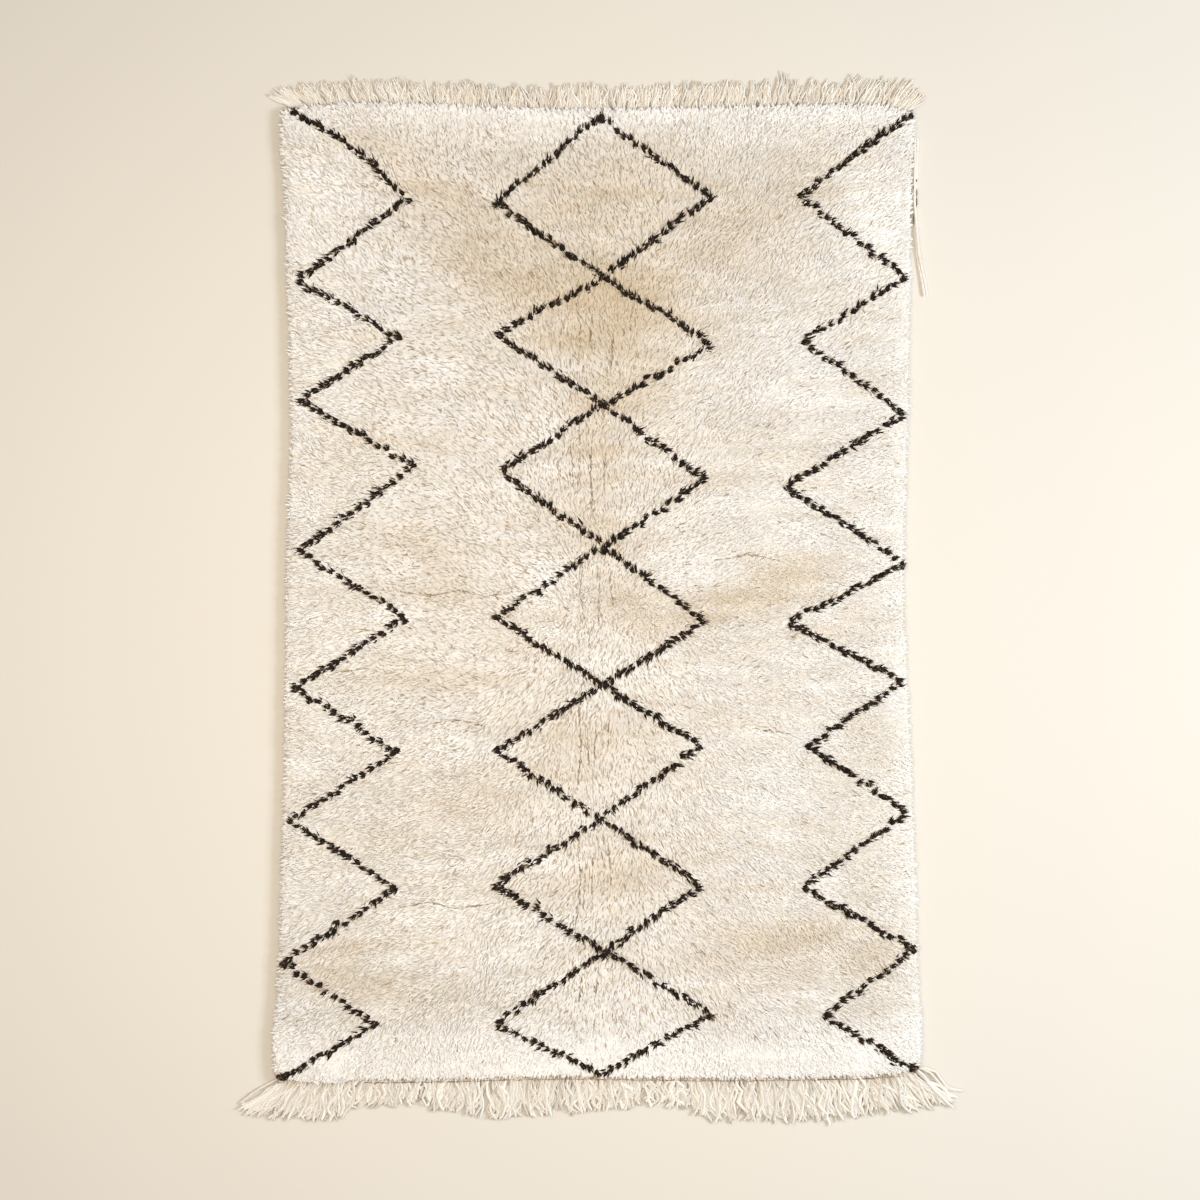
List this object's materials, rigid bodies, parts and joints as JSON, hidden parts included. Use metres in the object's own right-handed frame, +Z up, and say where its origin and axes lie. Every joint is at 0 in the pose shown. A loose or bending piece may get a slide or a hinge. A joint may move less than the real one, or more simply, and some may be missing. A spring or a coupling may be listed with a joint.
{
  "type": "knotted pile rug",
  "caption": "Rectangular hand-knotted wool pile rug, lying flat, with dark diamond and zigzag lines, a warp fringe at each end and a loose yarn beside one edge.",
  "frame": {"origin": "on the flat underside, at the middle of the rug with its fringes", "axes": "+Z up, out of the pile; +Y along the length, towards the end with the short fringe; +X towards the side with the loose yarn"},
  "size_m": [1.6793, 2.4503, 0.024],
  "materials": {
    "ivory_pile": "matte",
    "dark_pile": "matte",
    "ground_weave": "matte",
    "warp_fringe": "matte",
    "side_yarn": "matte"
  },
  "bodies": {
    "root": {"rug_body": "ivory_pile", "fringe_top": "warp_fringe", "fringe_bottom": "warp_fringe", "loose_selvedge_yarn": "side_yarn"}
  },
  "joints": []
}
